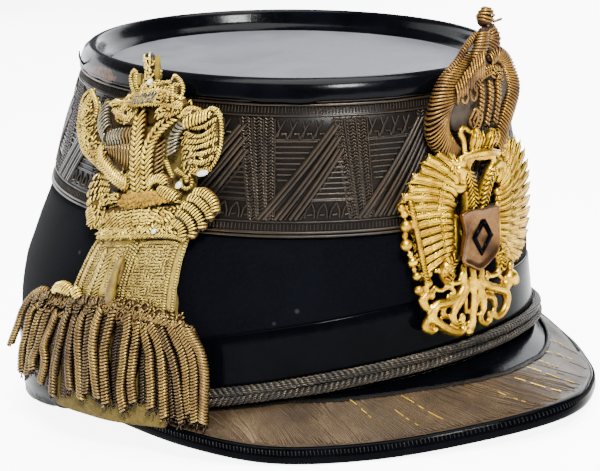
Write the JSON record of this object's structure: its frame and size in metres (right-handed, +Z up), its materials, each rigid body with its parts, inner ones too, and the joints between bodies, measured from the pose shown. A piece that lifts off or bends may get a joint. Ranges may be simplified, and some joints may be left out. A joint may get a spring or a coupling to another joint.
{
  "type": "shako hat",
  "caption": "Stiff cloth and patent leather shako with a sunk top, a pointed peak, a lace band, a pierced front plate, a bullion cockade and a fringed side badge.",
  "frame": {"origin": "bottom centre of the bounding box, on the surface that the hat stands on", "axes": "+Z up, -Y to the front (the peak), +X to the wearer's left; the hat is stored tipped back 5.5 degrees, as it stands on the rear of its rim and on the edge of its peak"},
  "size_m": [0.1888, 0.242, 0.1323],
  "materials": {
    "black_cloth": "fine wool cloth over felt, near black",
    "patent_leather": "black patent leather",
    "tarnished_lace": "woven metal lace, tarnished dark",
    "peak_lace": "woven metal lace, worn brown with gold threads",
    "dark_cord": "twisted dark cord",
    "gilt_metal": "cast and gilt",
    "copper_shield": "copper-coloured, worn",
    "gold_bullion": "twisted metal thread, aged gold",
    "yellow_felt": "yellow wool felt",
    "yellow_leather": "yellow leather"
  },
  "bodies": {
    "root": {"felt_shell": "black_cloth", "leather_band": "patent_leather", "lace_band": "tarnished_lace", "crown_top": "patent_leather", "peak": "patent_leather", "peak_lace": "peak_lace", "peak_binding": "patent_leather", "chin_cord_lower": "dark_cord", "chin_cord_upper": "dark_cord", "cord_button_right": "gilt_metal", "cord_button_left": "gilt_metal", "eagle_plate": "gilt_metal", "plate_shield": "copper_shield", "cockade_ring": "gold_bullion", "cockade_field": "gold_bullion", "cockade_bars": "gold_bullion", "cockade_tuft": "gold_bullion", "badge_felt": "yellow_felt", "badge_eagle": "gold_bullion", "badge_scroll": "gold_bullion", "badge_panel": "gold_bullion", "badge_loop": "yellow_leather", "badge_fringe": "gold_bullion"}
  },
  "joints": []
}
